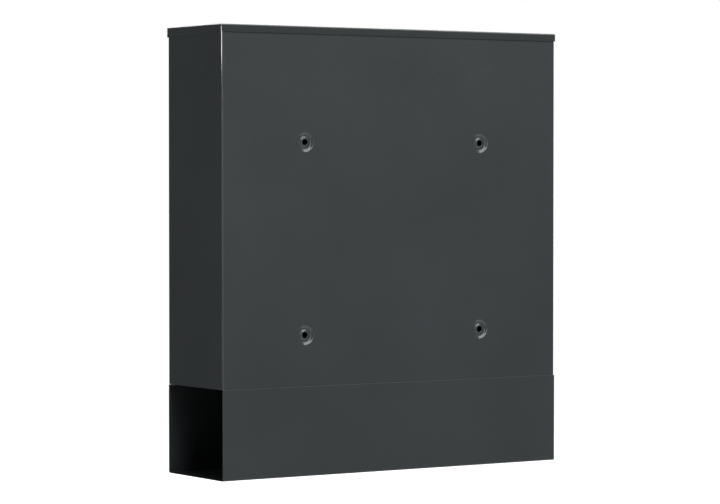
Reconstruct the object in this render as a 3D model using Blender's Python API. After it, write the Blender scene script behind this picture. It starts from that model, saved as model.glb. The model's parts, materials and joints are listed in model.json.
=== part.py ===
"""Wall mounted mailbox with an open-ended newspaper compartment under the letter compartment.

Frame: metres, +Z up. The wall's surface is the plane y = 0 and the mailbox hangs on its -Y side, so the
front faces -Y. The origin is on the wall, at the centre of the pattern of four fixing holes.
"""
from math import atan2, cos, pi, radians, sin, tan

import bmesh
import bpy
from mathutils import Matrix, Vector

# ---- driving dimensions, metres ----
BODY_WIDTH = 0.380
BODY_DEPTH = 0.099
HEIGHT = 0.420
TRAY_HEIGHT = 0.084          # height of the newspaper compartment
SHEET = 0.0006               # steel sheet
GAP = 0.0003                 # between pieces that touch
BEND = 0.0006                # inner radius of a sharp bend
FIX_SPACING_X = 0.200
FIX_SPACING_Z = 0.180
FIX_BELOW_TOP = 0.198        # centre of the fixing pattern under the top
FRAME = 0.014                # width of the front frame's stiles
RAIL = 0.012                 # height of the rail under the door and of the rail over it
RETURN = 0.012               # depth of the stiles' returns
REVEAL = 0.0105              # depth of the rails' returns
STOP_LIP = 0.006             # width of the lip behind the door's edge
CAP_FLANGE = 0.0073          # cap's flange on the back and the sides
CAP_LIP = 0.0092             # cap's front lip
CAP_FRONT = 0.0011           # cap's front lip in front of the body
SLOT_WIDTH = 0.340
SLOT_HEIGHT = 0.045
SLOT_BELOW_TOP = 0.013
DOOR_GAP = 0.0015
DOOR_RETURN = 0.009
PIVOT_INSET = 0.0035         # door's pivot from its edge and from its face
FLAP_INSET = 0.003           # flap's pivot from its top edge and from its face
WELD = 0.0001                # how far tabs run into the sheet they belong to
HEM = 0.0010                 # how far the lip's hem stands out
HEM_HEIGHT = 0.0032
TRAY_BEND = 0.0019           # tray's front lower bend, at the middle of the sheet
FLANGE = 0.012               # tray's flange under the floor
UPSTAND = 0.010              # floor's rear flange
LAP = 0.012                  # shell's lap behind the tray's back sheet

# fixing holes: each in a round groove, with a collar round the hole
HOLE_RADIUS = 0.0029
COLLAR_RADIUS = 0.0037
COLLAR_DEPTH = 0.0004
GROOVE_INNER = 0.0056
GROOVE_OUTER = 0.0064
GROOVE_DEPTH = 0.0015
DIMPLE_RADIUS = 0.0092
DIMPLE_RIM = 0.0008

# small parts
RIVET_PLACES = {"left": -0.130, "centre": 0.0, "right": 0.130}
RIVET_INSET = 0.006
RIVET_RADIUS = 0.0016
EAR_DEPTH = 0.009
EAR_HEIGHT = 0.012
FLAP_EAR_DEPTH = 0.007
FLAP_EAR_HEIGHT = 0.010
FLAP_HOOD = 0.004            # flap's top return
FLAP_BREAK = 0.0035          # height of the finger lip's bend over the flap's foot
FLAP_LIP = 0.005             # how far the finger lip stands out
STOP_INSET = 0.0035          # stop lip behind the slot, from the front
STOP_HEIGHT = 0.010
PIVOT_RADIUS = 0.0012
BUMPER_RADIUS = 0.0021
BUMPER_NOSE = 0.0017
FLAP_BUMPER_X = 0.120
DOOR_BUMPER_INSET = 0.050    # door's bumpers from the door's ends
PIN_RADIUS = 0.0015
PIN_HEAD = 0.0014
CLIP_RADIUS = 0.0026
CLIP_HEIGHT = 0.0008
LOCK_INSET = 0.0225          # lock's axis from the door's edge
LOCK_RADIUS = 0.00875
LOCK_FACE = 0.0110           # radius of the barrel's face flange
LOCK_FACE_HEIGHT = 0.0023
PLUG_RADIUS = 0.0059
BARREL_END = 0.0118
CAM_FACE = 0.0124
CAM_THICK = 0.0018
CAM_REACH = 0.026
CAM_HUB = 0.008
CAM_TIP = 0.006
BOSS = 0.0064
NUT_ACROSS = 0.022
NUT_HEIGHT = 0.0036
PLATE_WIDTH = 0.070
PLATE_HEIGHT = 0.022
PLATE_THICK = 0.0018
PLATE_RIM = 0.003
PLATE_BELOW_TOP = 0.034      # name plate's centre under the door's top edge

# ---- places worked out from them ----
PROUD = SHEET + GAP
OUTER_BEND = BEND + SHEET
MID_BEND = BEND + SHEET / 2
HALF = BODY_WIDTH / 2
BACK = -PROUD                # rear surface of the back panel
FRONT = BACK - BODY_DEPTH
TOP = FIX_BELOW_TOP
BOTTOM = TOP - HEIGHT
SEAM = BOTTOM + TRAY_HEIGHT
BODY_TOP = TOP - PROUD
OPEN_HALF = HALF - FRAME     # half width of the door's opening
RAIL_TOP = SEAM + RAIL
SLOT_TOP = TOP - SLOT_BELOW_TOP
SLOT_BOTTOM = SLOT_TOP - SLOT_HEIGHT
HEAD_BOTTOM = SLOT_BOTTOM - RAIL
DOOR_HALF = OPEN_HALF - DOOR_GAP
DOOR_BOTTOM = RAIL_TOP + DOOR_GAP
DOOR_TOP = HEAD_BOTTOM - DOOR_GAP
DOOR_PIVOT = Vector((-DOOR_HALF + PIVOT_INSET, FRONT + PIVOT_INSET, 0.0))
FLAP_HALF = SLOT_WIDTH / 2 - 0.001
FLAP_TOP = SLOT_TOP - 0.0015
FLAP_BOTTOM = SLOT_BOTTOM + 0.0015
FLAP_PIVOT = Vector((0.0, FRONT + FLAP_INSET, FLAP_TOP - FLAP_INSET))
LOCK_CENTRE = Vector((DOOR_HALF - LOCK_INSET, FRONT, (DOOR_TOP + DOOR_BOTTOM) / 2))
STOP_Y = FRONT + STOP_INSET
RIVET_Y = FRONT + RIVET_INSET
RIVET_HOLE = RIVET_RADIUS + GAP
PIN_HOLE = PIN_RADIUS + GAP
SLOT_HALF = SLOT_WIDTH / 2
EAR_X = SLOT_HALF + WELD     # near face of the slot's ears
FLAP_EAR_X = FLAP_HALF - WELD
FIX_POINTS = [Vector((x, BACK, z)) for x in (-FIX_SPACING_X / 2, FIX_SPACING_X / 2)
              for z in (-FIX_SPACING_Z / 2, FIX_SPACING_Z / 2)]
INTO_BOX = Matrix.Rotation(radians(-90), 4, "X")     # turns +Z into +Y
BACKWARDS = Matrix.Rotation(radians(90), 4, "X")     # turns +Z into -Y
ALONG_X = Matrix.Rotation(radians(90), 4, "Y")       # turns +Z into +X


# ---- materials ----
def material(name, colour, roughness, metallic=0.0, alpha=1.0):
    """Return a Principled material, made once for each name."""
    made = bpy.data.materials.get(name)
    if made:
        return made
    made = bpy.data.materials.new(name)
    made.use_nodes = True
    shader = made.node_tree.nodes["Principled BSDF"]
    shader.inputs["Base Color"].default_value = (*colour, 1.0)
    shader.inputs["Roughness"].default_value = roughness
    shader.inputs["Metallic"].default_value = metallic
    shader.inputs["Alpha"].default_value = alpha
    return made


def powder_coat():
    return material("anthracite_powder_coat", (0.045, 0.052, 0.055), 0.38)


def zinc():
    return material("zinc_plated_steel", (0.62, 0.63, 0.62), 0.34, metallic=1.0)


def nickel():
    return material("nickel_plated_brass", (0.70, 0.68, 0.63), 0.22, metallic=1.0)


def rubber():
    return material("black_rubber", (0.015, 0.015, 0.015), 0.75)


def nylon():
    return material("white_nylon", (0.80, 0.80, 0.77), 0.5)


def clear_plastic():
    return material("clear_plastic", (0.92, 0.94, 0.95), 0.08, alpha=0.35)


def paper():
    return material("white_card", (0.86, 0.86, 0.84), 0.85)


# ---- geometry helpers ----
def finish(name, mesh_builder, look, origin=(0, 0, 0), turn=None):
    """Make an object from a bmesh. With a turn, the mesh is local to its origin; without, it is in place."""
    bmesh.ops.recalc_face_normals(mesh_builder, faces=mesh_builder.faces)
    mesh = bpy.data.meshes.new(name)
    mesh_builder.to_mesh(mesh)
    mesh_builder.free()
    mesh.shade_smooth()
    mesh.set_sharp_from_angle(angle=radians(32))
    thing = bpy.data.objects.new(name, mesh)
    bpy.context.scene.collection.objects.link(thing)
    if look:
        mesh.materials.append(look)
    if turn:
        thing.matrix_world = Matrix.Translation(origin) @ turn
    else:
        mesh.transform(Matrix.Translation(-Vector(origin)))
        thing.location = origin
    return thing


def rounded_path(path, radii, steps=4):
    """Return (point, left normal) pairs along a path whose inner corners are arcs of the given radii."""
    points = [Vector(point) for point in path]
    heading = (points[1] - points[0]).normalized()
    line = [(points[0], Vector((-heading.y, heading.x)))]
    for before, corner, after, radius in zip(points, points[1:], points[2:], radii):
        arrive = (corner - before).normalized()
        leave = (after - corner).normalized()
        turn = atan2(arrive.cross(leave), arrive.dot(leave))
        side = 1 if turn > 0 else -1
        left = Vector((-arrive.y, arrive.x))
        centre = corner - arrive * radius * tan(abs(turn) / 2) + left * radius * side
        for step in range(steps + 1):
            normal = Matrix.Rotation(turn * step / steps, 2) @ left
            line.append((centre - normal * radius * side, normal))
    heading = (points[-1] - points[-2]).normalized()
    line.append((points[-1], Vector((-heading.y, heading.x))))
    return line


def sheet_outline(path, radii=None, thickness=SHEET):
    """Return the closed outline of a folded sheet whose middle follows a path."""
    line = rounded_path(path, radii or [MID_BEND] * (len(path) - 2))
    left = [point + normal * thickness / 2 for point, normal in line]
    right = [point - normal * thickness / 2 for point, normal in line]
    return left + right[::-1]


def add_prism(builder, outline, axis, low, high):
    """Add a prism: an (x, y) outline along Z, or a (y, z) outline along X."""
    place = {"Z": lambda u, v, w: (u, v, w), "X": lambda u, v, w: (w, u, v)}[axis]
    lower = [builder.verts.new(place(u, v, low)) for u, v in outline]
    face = builder.faces.new(lower)
    pushed = bmesh.ops.extrude_face_region(builder, geom=[face])
    upper = [item for item in pushed["geom"] if isinstance(item, bmesh.types.BMVert)]
    shift = Vector(place(0, 0, high - low))
    bmesh.ops.translate(builder, verts=upper, vec=shift)


def add_box(builder, low, high):
    """Add a closed box between two corners."""
    size = Vector(high) - Vector(low)
    middle = (Vector(high) + Vector(low)) / 2
    made = bmesh.ops.create_cube(builder, size=1.0)
    bmesh.ops.scale(builder, vec=size, verts=made["verts"])
    bmesh.ops.translate(builder, vec=middle, verts=made["verts"])
    return made["verts"]


def add_turned(builder, profile, segments=24, ring=False, place=None):
    """Add a solid of revolution about Z from (radius, height) points; a ring's profile is a closed loop."""
    rows = []
    for radius, height in profile:
        if radius == 0:
            rows.append([builder.verts.new((0, 0, height))] * segments)
            continue
        angles = [2 * pi * step / segments for step in range(segments)]
        rows.append([builder.verts.new((radius * cos(a), radius * sin(a), height)) for a in angles])
    pairs = list(zip(rows, rows[1:]))
    if ring:
        pairs.append((rows[-1], rows[0]))
    for low, high in pairs:
        for step in range(segments):
            after = (step + 1) % segments
            corners = [low[step], low[after], high[after], high[step]]
            builder.faces.new(list(dict.fromkeys(corners)))
    if place:
        moved = {vert for row in rows for vert in row}
        bmesh.ops.transform(builder, matrix=place, verts=list(moved))


def turned(name, profile, look, origin, turn, segments=24, ring=False):
    """Make a turned piece whose own Z axis is turned and placed as asked."""
    builder = bmesh.new()
    add_turned(builder, profile, segments, ring)
    return finish(name, builder, look, origin, turn)


def folded(name, path, axis, low, high, radii=None, origin=(0, 0, 0)):
    """Make a sheet piece with a constant folded section."""
    builder = bmesh.new()
    add_prism(builder, sheet_outline(path, radii), axis, low, high)
    return finish(name, builder, powder_coat(), origin)


def pan(name, low, high, open_side, origin=(0, 0, 0)):
    """Make a five-sided sheet pan, open towards +Y or -Z, with bent edges."""
    builder = bmesh.new()
    add_box(builder, low, high)
    is_open = {"+Y": lambda normal: normal.y > 0.5, "-Z": lambda normal: normal.z < -0.5}[open_side]
    builder.normal_update()
    gone = [face for face in builder.faces if is_open(face.normal)]
    bmesh.ops.delete(builder, geom=gone, context="FACES")
    bends = [edge for edge in builder.edges if not edge.is_boundary]
    bmesh.ops.bevel(builder, geom=bends, offset=OUTER_BEND, segments=3, profile=0.5, affect="EDGES")
    thing = finish(name, builder, powder_coat(), origin)
    wall = thing.modifiers.new("sheet", "SOLIDIFY")
    wall.thickness = SHEET
    wall.offset = -1
    wall.use_even_offset = True
    return thing


def mirrored(low, high):
    """Return the box between two corners and its mirror image across x = 0."""
    other_low = (-high[0], low[1], low[2])
    other_high = (-low[0], high[1], high[2])
    return [(low, high), (other_low, other_high)]


def around_lock(half_x, near, half_z, far):
    """Return a box centred on the lock's axis, from near to far behind the door's face."""
    low = LOCK_CENTRE + Vector((-half_x, near, -half_z))
    high = LOCK_CENTRE + Vector((half_x, far, half_z))
    return low, high


def cut_or_join(thing, operation, build):
    """Cut from, or join to, a piece the closed shapes that build adds to an empty bmesh."""
    builder = bmesh.new()
    build(builder)
    tool = finish(f"{thing.name}_{operation.lower()}_{len(thing.modifiers)}", builder, None)
    tool.hide_render = True
    tool.display_type = "WIRE"
    step = thing.modifiers.new(operation.lower(), "BOOLEAN")
    step.operation = operation
    step.object = tool


def cut_boxes(thing, boxes):
    def build(builder):
        for low, high in boxes:
            add_box(builder, low, high)
    cut_or_join(thing, "DIFFERENCE", build)


def join_boxes(thing, boxes):
    def build(builder):
        for low, high in boxes:
            add_box(builder, low, high)
    cut_or_join(thing, "UNION", build)


def cut_holes(thing, radius, centres, turn, length=0.006, segments=24):
    """Cut round holes, each centred on a point, along the turned Z axis."""
    profile = [(0, -length), (radius, -length), (radius, length), (0, length)]

    def build(builder):
        for centre in centres:
            add_turned(builder, profile, segments, place=Matrix.Translation(centre) @ turn)
    cut_or_join(thing, "DIFFERENCE", build)


def on_axis(name, place, pieces):
    """Parent moving pieces to an empty on their joint's axis, leaving them where they are."""
    axis = bpy.data.objects.new(name, None)
    bpy.context.scene.collection.objects.link(axis)
    axis.location = place
    for piece in pieces:
        piece.parent = axis
        piece.matrix_parent_inverse = Matrix.Translation(-Vector(place))
    return axis


# ---- housing ----
def add_dimples(builder):
    """Add the four pressed rings, each a groove with a raised collar round its hole."""
    flank = [(GROOVE_OUTER, GROOVE_DEPTH), (GROOVE_INNER, GROOVE_DEPTH), (COLLAR_RADIUS, COLLAR_DEPTH),
             (HOLE_RADIUS, COLLAR_DEPTH)]
    rim = DIMPLE_RADIUS + DIMPLE_RIM
    near = SHEET / 4
    far = SHEET * 3 / 4
    outer = [(rim, near), (DIMPLE_RADIUS + GAP, near)] + flank
    inner = [(radius, depth + SHEET) for radius, depth in reversed(flank)]
    inner += [(DIMPLE_RADIUS, far), (rim, far)]
    for point in FIX_POINTS:
        add_turned(builder, outer + inner, ring=True, place=Matrix.Translation(point) @ BACKWARDS)


def make_housing_shell():
    """Back and sides folded from one sheet, with stiles, their returns and the door's stop lips."""
    side = HALF - SHEET / 2
    stile = FRONT + SHEET / 2
    inner = OPEN_HALF + SHEET / 2
    lip = FRONT + RETURN - SHEET / 2
    right = [(inner - STOP_LIP, lip), (inner, lip), (inner, stile), (side, stile), (side, BACK - SHEET / 2)]
    path = [(-x, y) for x, y in right] + right[::-1]
    shell = folded("housing_shell", path, "Z", SEAM - LAP, BODY_TOP)
    below = SEAM - 2 * LAP
    flat_half = HALF - 2 * OUTER_BEND
    return_foot = SEAM + SHEET + GAP
    cut_boxes(shell, [((-HALF - LAP, FRONT - LAP, below), (HALF + LAP, BACK - OUTER_BEND, SEAM))])
    corners = mirrored((flat_half, BACK - 2 * OUTER_BEND, below), (HALF + LAP, LAP, SEAM))
    cut_boxes(shell, corners)
    feet = mirrored((OPEN_HALF - STOP_LIP - GAP, FRONT + SHEET + GAP, below),
                    (OPEN_HALF + 2 * OUTER_BEND, FRONT + RETURN + LAP, return_foot))
    cut_boxes(shell, feet)
    cut_holes(shell, DIMPLE_RADIUS, FIX_POINTS, BACKWARDS)
    cut_or_join(shell, "UNION", add_dimples)


def make_top_cap():
    """Cap that laps over the shell, with a hem along the foot of its front lip."""
    lip = FRONT - CAP_FRONT
    foot = TOP - CAP_LIP
    cap = pan("top_cap", (-HALF - PROUD, lip, foot), (HALF + PROUD, 0, TOP), "-Z")
    wide = 2 * HALF
    cut_boxes(cap, [((-wide, FRONT + OUTER_BEND, foot - CAP_LIP), (wide, CAP_LIP, TOP - CAP_FLANGE))])
    path = [(lip + SHEET / 2, foot), (lip - HEM, foot), (lip - HEM, foot + HEM_HEIGHT),
            (lip + SHEET / 2, foot + HEM_HEIGHT)]
    outline = [point for point, _ in rounded_path(path, [HEM / 2] * 2)]

    def add_hem(builder):
        add_prism(builder, outline, "X", -HALF, HALF)
    cut_or_join(cap, "UNION", add_hem)


def make_floor_panel():
    """Floor of the letter compartment, folded up at the back and into the lower rail at the front."""
    half = HALF - SHEET - GAP
    rear = BACK - PROUD - SHEET / 2
    floor = SEAM + SHEET / 2
    rail = RAIL_TOP - SHEET / 2
    path = [(rear, SEAM + UPSTAND), (rear, floor), (FRONT + SHEET / 2, floor), (FRONT + SHEET / 2, rail),
            (FRONT + REVEAL, rail)]
    panel = folded("floor_panel", path, "X", -half, half)
    near = OPEN_HALF - GAP
    far = HALF + RAIL
    notches = mirrored((near, FRONT - RAIL, SEAM + SHEET), (far, FRONT + RETURN + GAP, RAIL_TOP + RAIL))
    notches += mirrored((near, FRONT - RAIL, SEAM - RAIL), (far, FRONT + SHEET + GAP, RAIL_TOP + RAIL))
    for notch in notches:
        cut_boxes(panel, [notch])
    cut_holes(panel, RIVET_HOLE, [(x, RIVET_Y, SEAM) for x in RIVET_PLACES.values()], Matrix())
    cut_holes(panel, PIN_HOLE, [(DOOR_PIVOT.x, DOOR_PIVOT.y, RAIL_TOP)], Matrix(), length=0.003)


def make_newspaper_tray():
    """U-shaped sheet with open ends, lapped over the back panel and flanged under the floor."""
    front = FRONT + SHEET / 2
    flange = SEAM - GAP - SHEET / 2
    path = [(-SHEET / 2, SEAM), (-SHEET / 2, BOTTOM + SHEET / 2), (front, BOTTOM + SHEET / 2),
            (front, flange), (FRONT + FLANGE, flange)]
    tray = folded("newspaper_tray", path, "X", -HALF, HALF, [MID_BEND, TRAY_BEND, MID_BEND])
    cut_holes(tray, RIVET_HOLE, [(x, RIVET_Y, SEAM) for x in RIVET_PLACES.values()], Matrix())


def make_tray_rivets():
    """Blind rivets through the tray's flange and the floor."""
    under = -(2 * GAP + SHEET)
    over = SHEET + GAP
    head = 2 * RIVET_RADIUS
    tail = 1.5 * RIVET_RADIUS
    profile = [(0, under - 0.0012), (head - 0.0014, under - 0.0010), (head, under), (RIVET_RADIUS, under),
               (RIVET_RADIUS, over), (tail, over), (tail, over + 0.0012), (tail - 0.0010, over + 0.0018),
               (0, over + 0.0018)]
    for name, x in RIVET_PLACES.items():
        turned(f"tray_rivet_{name}", profile, zinc(), (x, RIVET_Y, SEAM), Matrix(), segments=16)


# ---- slot, flap ----
def make_slot_panel():
    """Fixed upper front with the mail slot, its stop lip, the pivot ears and the door's upper rail."""
    half = OPEN_HALF - GAP
    sheet_y = FRONT + SHEET / 2
    top = BODY_TOP - SHEET / 2
    head = HEAD_BOTTOM + SHEET / 2
    path = [(FRONT + UPSTAND, top), (sheet_y, top), (sheet_y, head), (FRONT + REVEAL, head)]
    panel = folded("slot_panel", path, "X", -half, half)
    slot = ((-SLOT_HALF, FRONT - 2 * SHEET, SLOT_BOTTOM), (SLOT_HALF, FRONT + 3 * SHEET, SLOT_TOP))
    cut_boxes(panel, [slot])
    foot = SLOT_BOTTOM - SHEET / 2
    stop = sheet_outline([(sheet_y, foot), (STOP_Y, foot), (STOP_Y, SLOT_BOTTOM + STOP_HEIGHT)])

    def add_stop(builder):
        add_prism(builder, stop, "X", -SLOT_HALF, SLOT_HALF)
    cut_or_join(panel, "UNION", add_stop)
    join_boxes(panel, mirrored((EAR_X, FRONT + SHEET / 3, SLOT_TOP - EAR_HEIGHT),
                               (EAR_X + SHEET, FRONT + EAR_DEPTH, SLOT_TOP)))
    pivots = [(x, FLAP_PIVOT.y, FLAP_PIVOT.z) for x in (-SLOT_HALF, SLOT_HALF)]
    cut_holes(panel, PIVOT_RADIUS + GAP, pivots, ALONG_X, length=0.004)
    cut_holes(panel, PIN_HOLE, [(DOOR_PIVOT.x, DOOR_PIVOT.y, HEAD_BOTTOM)], Matrix(), length=0.003)


def make_mail_flap():
    """Flap in the slot, with a finger lip along its foot and an ear at each end."""
    sheet_y = FRONT + SHEET / 2
    hood = FLAP_TOP - SHEET / 2
    path = [(FRONT + FLAP_HOOD, hood), (sheet_y, hood), (sheet_y, FLAP_BOTTOM + FLAP_BREAK),
            (FRONT - FLAP_LIP, FLAP_BOTTOM + SHEET)]
    flap = folded("mail_flap", path, "X", -FLAP_HALF, FLAP_HALF, origin=FLAP_PIVOT)
    join_boxes(flap, mirrored((FLAP_EAR_X - SHEET, FRONT + SHEET / 3, FLAP_TOP - FLAP_EAR_HEIGHT),
                              (FLAP_EAR_X, FRONT + FLAP_EAR_DEPTH, FLAP_TOP - SHEET / 3)))
    pivots = [(x, FLAP_PIVOT.y, FLAP_PIVOT.z) for x in (-FLAP_HALF, FLAP_HALF)]
    cut_holes(flap, PIVOT_RADIUS + GAP, pivots, ALONG_X, length=0.004)
    on_axis("flap_axis", FLAP_PIVOT, [flap])


def make_flap_pivots():
    """Rivets through the panel's ears and the flap's ears; heads outside, formed tails inside."""
    head = EAR_X + SHEET + GAP
    tail = FLAP_EAR_X - SHEET - GAP
    wide = PIVOT_RADIUS + 0.0008
    profile = [(0, head + 0.0008), (wide - 0.0005, head + 0.0008), (wide, head + 0.0003), (wide, head),
               (PIVOT_RADIUS, head), (PIVOT_RADIUS, tail), (wide, tail), (wide - 0.0004, tail - 0.0010),
               (0, tail - 0.0010)]
    place = (0, FLAP_PIVOT.y, FLAP_PIVOT.z)
    turned("flap_pivot_right", profile, zinc(), place, ALONG_X, segments=16)
    turned("flap_pivot_left", profile, zinc(), place, ALONG_X.inverted(), segments=16)


def make_bumper(name, place, height):
    """Make a round rubber pad whose narrower nose faces the front."""
    profile = [(0, 0), (BUMPER_NOSE, 0), (BUMPER_RADIUS, height / 3), (BUMPER_RADIUS, height), (0, height)]
    turned(name, profile, rubber(), place, INTO_BOX, segments=16)


def make_bumpers():
    """Rubber pads that the flap and the door close on."""
    flap_back = FRONT + SHEET + GAP
    flap_room = STOP_Y - SHEET / 2 - GAP - flap_back
    flap_z = SLOT_BOTTOM + STOP_HEIGHT - BUMPER_RADIUS - GAP
    make_bumper("flap_bumper_left", (-FLAP_BUMPER_X, flap_back, flap_z), flap_room)
    make_bumper("flap_bumper_right", (FLAP_BUMPER_X, flap_back, flap_z), flap_room)
    door_back = FRONT + DOOR_RETURN + GAP
    door_room = FRONT + RETURN - SHEET - GAP - door_back
    x = DOOR_HALF - SHEET
    make_bumper("door_bumper_lower", (x, door_back, DOOR_BOTTOM + DOOR_BUMPER_INSET), door_room)
    make_bumper("door_bumper_upper", (x, door_back, DOOR_TOP - DOOR_BUMPER_INSET), door_room)


# ---- door ----
def make_door_panel():
    """Door sheet with four returned edges, holes for the hinge pins and for the lock."""
    door = pan("door_panel", (-DOOR_HALF, FRONT, DOOR_BOTTOM), (DOOR_HALF, FRONT + DOOR_RETURN, DOOR_TOP),
               "+Y", origin=DOOR_PIVOT)
    pins = [(DOOR_PIVOT.x, DOOR_PIVOT.y, z) for z in (DOOR_BOTTOM, DOOR_TOP)]
    cut_holes(door, PIN_HOLE, pins, Matrix(), length=0.003)
    cut_holes(door, LOCK_RADIUS + GAP, [LOCK_CENTRE], INTO_BOX, segments=32)
    return door


def make_hinge():
    """Two headed pins through rail and door, a push-on clip on each, and a washer under the door."""
    end = PIN_HEAD + GAP + 2 * SHEET + DOOR_GAP + 0.0030
    head = CLIP_RADIUS - WELD
    pin = [(0, 0), (head - 0.0002, 0), (head, 0.0003), (head, PIN_HEAD), (PIN_RADIUS, PIN_HEAD),
           (PIN_RADIUS, end), (0, end)]
    clip = [(PIN_HOLE, 0), (CLIP_RADIUS, 0), (CLIP_RADIUS, CLIP_HEIGHT), (PIN_HOLE, CLIP_HEIGHT)]
    washer_height = DOOR_GAP - 2 * GAP
    washer = [(PIN_HOLE, 0), (CLIP_RADIUS, 0), (CLIP_RADIUS, washer_height), (PIN_HOLE, washer_height)]
    x, y, _ = DOOR_PIVOT
    flip = Matrix.Rotation(pi, 4, "X")
    under_rail = RAIL_TOP - SHEET - GAP - PIN_HEAD
    over_rail = HEAD_BOTTOM + SHEET + GAP + PIN_HEAD
    turned("door_hinge_pin_lower", pin, zinc(), (x, y, under_rail), Matrix(), segments=16)
    turned("door_hinge_pin_upper", pin, zinc(), (x, y, over_rail), flip, segments=16)
    turned("hinge_clip_lower", clip, zinc(), (x, y, DOOR_BOTTOM + SHEET + GAP), Matrix(), 20, ring=True)
    turned("hinge_clip_upper", clip, zinc(), (x, y, DOOR_TOP - SHEET - GAP), flip, 20, ring=True)
    turned("hinge_washer", washer, nylon(), (x, y, RAIL_TOP + GAP), Matrix(), 20, ring=True)


# ---- lock ----
def make_lock_housing():
    """Lock barrel with its round face flange, bored for the plug."""
    bore = PLUG_RADIUS + GAP
    section = [(bore, -LOCK_FACE_HEIGHT), (LOCK_FACE - 0.0010, -LOCK_FACE_HEIGHT), (LOCK_FACE, -0.0016),
               (LOCK_FACE, -GAP), (LOCK_RADIUS, -GAP), (LOCK_RADIUS, BARREL_END), (bore, BARREL_END)]
    return turned("lock_housing", section, nickel(), LOCK_CENTRE, INTO_BOX, 32, ring=True)


def make_lock_nut():
    """Hexagon nut on the barrel, behind the door sheet."""
    corner = NUT_ACROSS / 2 / cos(pi / 6)
    near = SHEET + GAP
    far = near + NUT_HEIGHT
    nut = turned("lock_nut", [(0, near), (corner, near), (corner, far), (0, far)], zinc(), LOCK_CENTRE,
                 INTO_BOX, segments=6)
    cut_holes(nut, LOCK_RADIUS + GAP, [LOCK_CENTRE], INTO_BOX, length=0.010, segments=32)
    return nut


def make_lock_plug():
    """Turning plug with a keyway in its face and a square boss for the cam."""
    face = 0.0004 - LOCK_FACE_HEIGHT
    end = BARREL_END + GAP
    plug = turned("lock_plug", [(0, face), (PLUG_RADIUS - 0.0004, face), (PLUG_RADIUS, face + 0.0004),
                                (PLUG_RADIUS, end), (0, end)], nickel(), LOCK_CENTRE, INTO_BOX, segments=32)
    boss_end = CAM_FACE + CAM_THICK - GAP
    join_boxes(plug, [around_lock(BOSS / 2, BARREL_END - 0.002, BOSS / 2, boss_end)])
    cut_boxes(plug, [around_lock(0.0006, -0.006, 0.0033, 0.004)])
    cut_holes(plug, 0.0019, [LOCK_CENTRE + Vector((0, boss_end, 0))], INTO_BOX, length=0.0065, segments=16)
    return plug


def make_lock_cam():
    """Flat cam, hanging down when unlocked, with a square hole on the plug's boss."""
    arc = [pi * step / 10 for step in range(11)]
    outline = [(CAM_HUB * cos(angle), -CAM_HUB * sin(angle)) for angle in arc]
    outline += [(-CAM_TIP * cos(angle), CAM_REACH + CAM_TIP * sin(angle)) for angle in arc]
    builder = bmesh.new()
    add_prism(builder, outline, "Z", CAM_FACE, CAM_FACE + CAM_THICK)
    cam = finish("lock_cam", builder, zinc(), LOCK_CENTRE, INTO_BOX)
    hole = BOSS / 2 + GAP
    cut_boxes(cam, [around_lock(hole, CAM_FACE - CAM_THICK, hole, CAM_FACE + 2 * CAM_THICK)])
    return cam


def make_cam_screw():
    """Pan head screw that holds the cam on the boss."""
    seat = CAM_FACE + CAM_THICK + GAP
    head = BOSS / 2 + 0.0020
    shank = [(0, seat - 0.006), (0.0016, seat - 0.006), (0.0016, seat)]
    profile = shank + [(head, seat), (head, seat + 0.0012), (head - 0.0012, seat + 0.0020)]
    profile.append((0, seat + 0.0020))
    return turned("cam_screw", profile, zinc(), LOCK_CENTRE, INTO_BOX)


# ---- name plate ----
def make_name_plate():
    """Clear cover with a shallow pocket at its back, and the card in it."""
    centre_z = DOOR_TOP - PLATE_BELOW_TOP
    near = FRONT - GAP
    half = Vector((PLATE_WIDTH / 2, 0, PLATE_HEIGHT / 2))
    pocket = half - Vector((PLATE_RIM, 0, PLATE_RIM))
    room = pocket - Vector((GAP, 0, GAP))
    back = Vector((0, near, centre_z))
    builder = bmesh.new()
    verts = add_box(builder, back - half - Vector((0, PLATE_THICK, 0)), back + half)
    edges = {edge for vert in verts for edge in vert.link_edges}
    deep = [edge for edge in edges if abs(edge.verts[0].co.y - edge.verts[1].co.y) > PLATE_THICK / 2]
    bmesh.ops.bevel(builder, geom=deep, offset=PLATE_RIM / 2, segments=3, profile=0.5, affect="EDGES")
    cover = finish("name_cover", builder, clear_plastic(), back)
    cut_boxes(cover, [(back - pocket - Vector((0, 2 * GAP, 0)), back + pocket + Vector((0, SHEET, 0)))])
    builder = bmesh.new()
    add_box(builder, back - room - Vector((0, GAP, 0)), back + room)
    card = finish("name_card", builder, paper(), back)
    return [cover, card]


def main():
    for thing in list(bpy.data.objects):
        bpy.data.objects.remove(thing, do_unlink=True)
    make_housing_shell()
    make_top_cap()
    make_floor_panel()
    make_newspaper_tray()
    make_tray_rivets()
    make_slot_panel()
    make_mail_flap()
    make_flap_pivots()
    make_bumpers()
    make_hinge()
    door = [make_door_panel(), make_lock_housing(), make_lock_nut(), *make_name_plate()]
    on_axis("door_axis", DOOR_PIVOT, door)
    on_axis("lock_axis", LOCK_CENTRE, [make_lock_plug(), make_lock_cam(), make_cam_screw()])


main()
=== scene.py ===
"""Looks of the wall mounted mailbox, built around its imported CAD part.

Same frame as the part: metres, +Z up, the wall is the plane y = 0 and the front faces -Y.
"""

import json
from math import atan2, cos, pi, radians, sin, tan

import bmesh
import bpy
from mathutils import Matrix, Vector


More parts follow.
